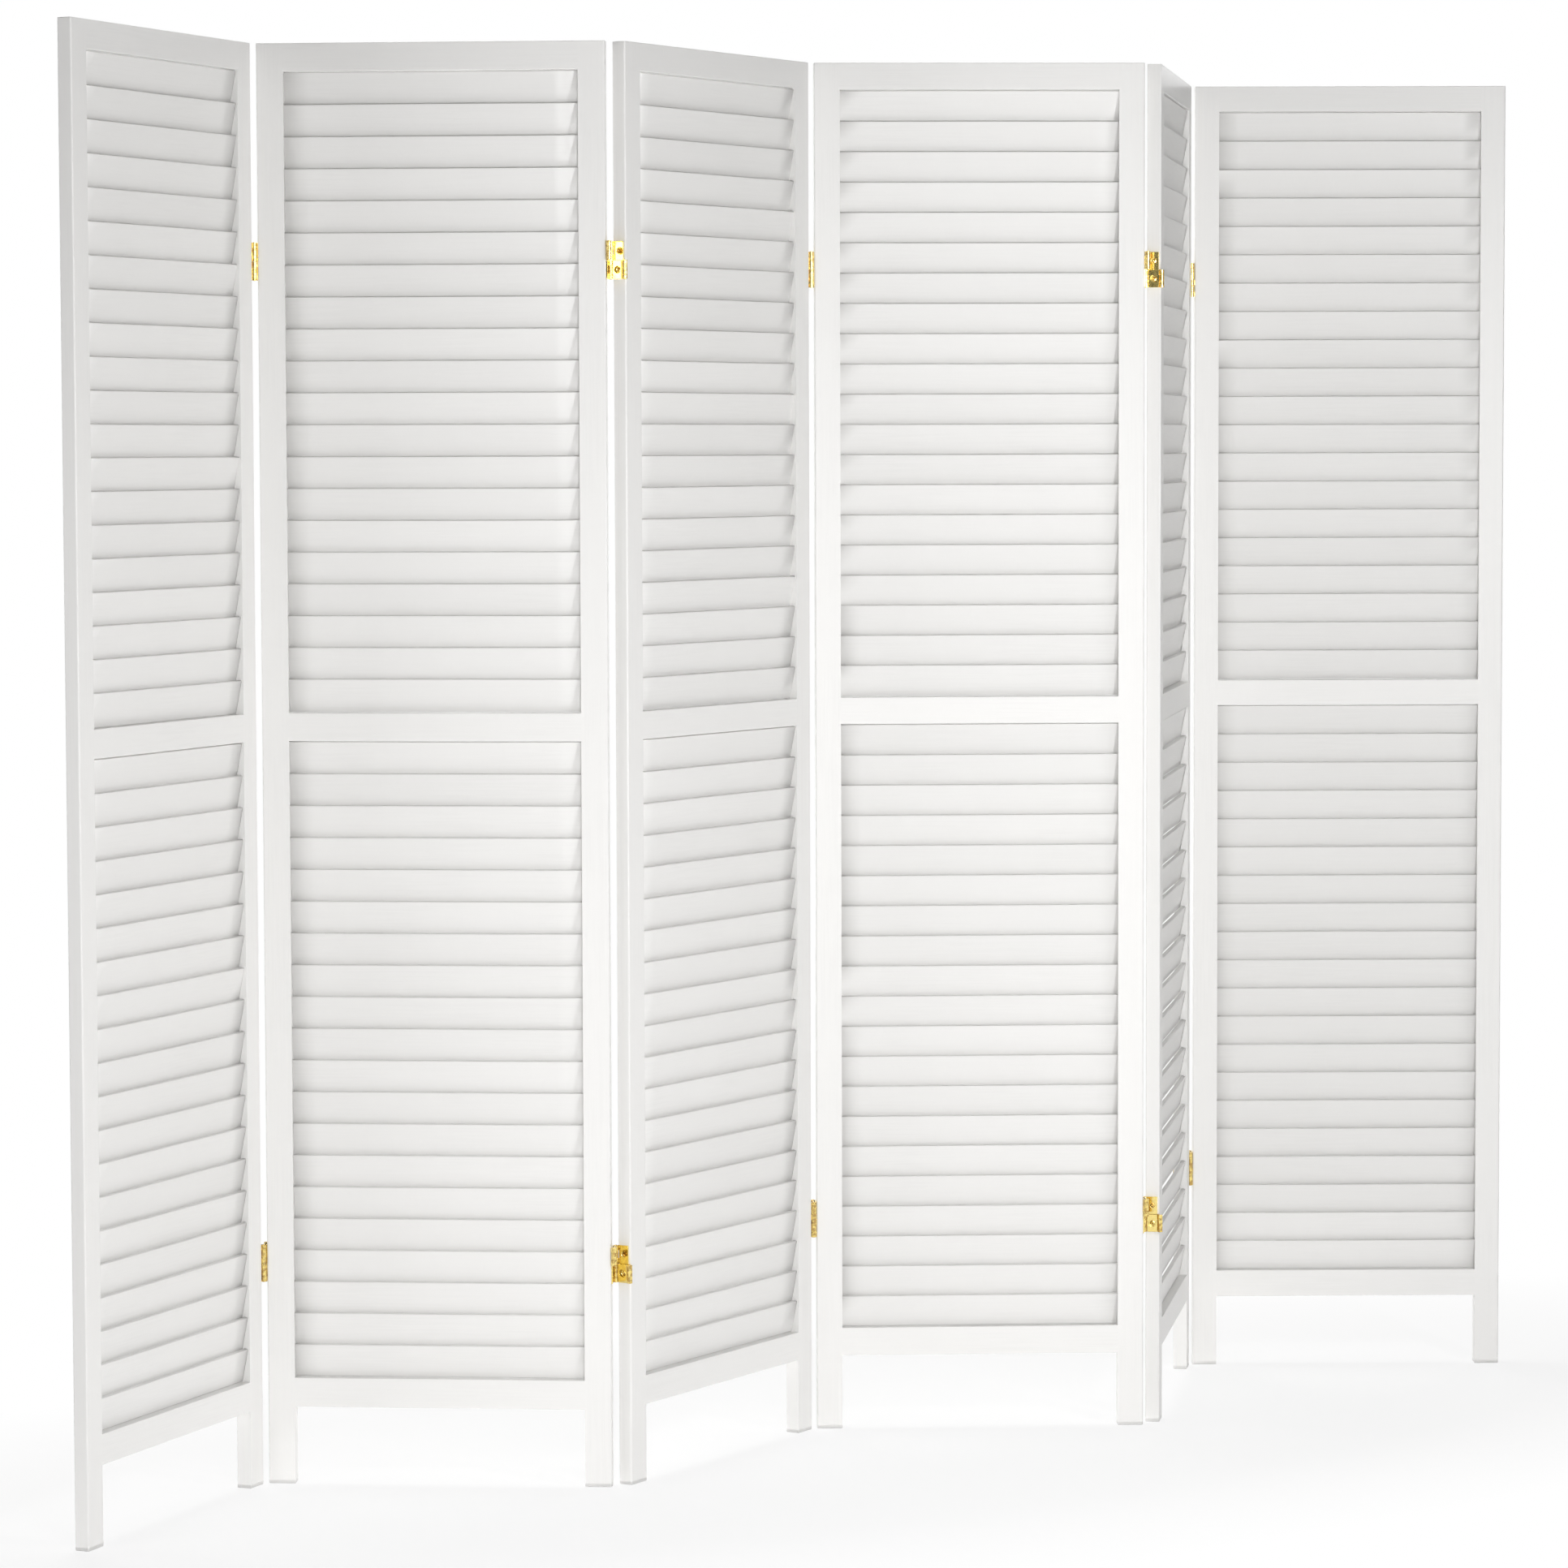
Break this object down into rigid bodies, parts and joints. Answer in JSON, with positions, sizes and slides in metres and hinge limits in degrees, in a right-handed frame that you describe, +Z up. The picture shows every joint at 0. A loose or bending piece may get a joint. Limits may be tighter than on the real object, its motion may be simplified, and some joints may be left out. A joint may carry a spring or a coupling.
{
  "type": "louvered room divider",
  "caption": "Free-standing folding screen of tall white-painted wooden panels with tilted louvre slats, joined in a zigzag by double-action brass hinges.",
  "frame": {"origin": "middle of the whole screen's bounding box, on the floor that its legs stand on", "axes": "+X runs along the screen, from its left end to its right end seen from the front; -Y is towards the viewer of the fronts; +Z is up"},
  "size_m": [2.1066, 0.3294, 1.7],
  "materials": {
    "frame_paint": "satin white paint on wood",
    "slat_paint": "satin white paint on wood",
    "hinge_brass": "polished, brass plated",
    "pin_brass": "polished, brass plated",
    "screw_brass": "polished, brass plated"
  },
  "bodies": {
    "panel_1": {"panel_1_left_stile": "frame_paint", "panel_1_right_stile": "frame_paint", "panel_1_top_rail": "frame_paint", "panel_1_middle_rail": "frame_paint", "panel_1_bottom_rail": "frame_paint", "panel_1_louvre_slats": "slat_paint", "panel_1_hinge_leaves": "hinge_brass", "panel_1_hinge_straps": "hinge_brass", "panel_1_hinge_pins": "pin_brass", "panel_1_hinge_screws": "screw_brass"},
    "panel_2": {"panel_2_left_stile": "frame_paint", "panel_2_right_stile": "frame_paint", "panel_2_top_rail": "frame_paint", "panel_2_middle_rail": "frame_paint", "panel_2_bottom_rail": "frame_paint", "panel_2_louvre_slats": "slat_paint", "panel_2_hinge_leaves": "hinge_brass", "panel_2_hinge_straps": "hinge_brass", "panel_2_hinge_pins": "pin_brass", "panel_2_hinge_screws": "screw_brass"},
    "panel_3": {"panel_3_left_stile": "frame_paint", "panel_3_right_stile": "frame_paint", "panel_3_top_rail": "frame_paint", "panel_3_middle_rail": "frame_paint", "panel_3_bottom_rail": "frame_paint", "panel_3_louvre_slats": "slat_paint", "panel_3_hinge_leaves": "hinge_brass", "panel_3_hinge_straps": "hinge_brass", "panel_3_hinge_pins": "pin_brass", "panel_3_hinge_screws": "screw_brass"},
    "panel_4": {"panel_4_left_stile": "frame_paint", "panel_4_right_stile": "frame_paint", "panel_4_top_rail": "frame_paint", "panel_4_middle_rail": "frame_paint", "panel_4_bottom_rail": "frame_paint", "panel_4_louvre_slats": "slat_paint", "panel_4_hinge_leaves": "hinge_brass", "panel_4_hinge_straps": "hinge_brass", "panel_4_hinge_pins": "pin_brass", "panel_4_hinge_screws": "screw_brass"},
    "panel_5": {"panel_5_left_stile": "frame_paint", "panel_5_right_stile": "frame_paint", "panel_5_top_rail": "frame_paint", "panel_5_middle_rail": "frame_paint", "panel_5_bottom_rail": "frame_paint", "panel_5_louvre_slats": "slat_paint", "panel_5_hinge_leaves": "hinge_brass", "panel_5_hinge_straps": "hinge_brass", "panel_5_hinge_pins": "pin_brass", "panel_5_hinge_screws": "screw_brass"},
    "panel_6": {"panel_6_left_stile": "frame_paint", "panel_6_right_stile": "frame_paint", "panel_6_top_rail": "frame_paint", "panel_6_middle_rail": "frame_paint", "panel_6_bottom_rail": "frame_paint", "panel_6_louvre_slats": "slat_paint", "panel_6_hinge_leaves": "hinge_brass", "panel_6_hinge_straps": "hinge_brass", "panel_6_hinge_pins": "pin_brass", "panel_6_hinge_screws": "screw_brass"}
  },
  "joints": [
    {"name": "fold_1_2", "type": "hinge", "parent": "panel_1", "child": "panel_2", "pos_m": [-0.6987, 0.14516, 0.85], "axis": [0, 0, -1], "range_deg": [-71.7, 108.3]},
    {"name": "fold_2_3", "type": "hinge", "parent": "panel_2", "child": "panel_3", "pos_m": [-0.35884, -0.0976, 0.85], "axis": [0, 0, 1], "range_deg": [-62.5, 117.5]},
    {"name": "fold_3_4", "type": "hinge", "parent": "panel_3", "child": "panel_4", "pos_m": [0.02954, 0.05603, 0.85], "axis": [0, 0, -1], "range_deg": [-55.7, 124.3]},
    {"name": "fold_4_5", "type": "hinge", "parent": "panel_4", "child": "panel_5", "pos_m": [0.39575, -0.14479, 0.85], "axis": [0, 0, 1], "range_deg": [-77.8, 102.2]},
    {"name": "fold_5_6", "type": "hinge", "parent": "panel_5", "child": "panel_6", "pos_m": [0.6978, 0.14367, 0.85], "axis": [0, 0, -1], "range_deg": [-79.6, 100.4]}
  ]
}
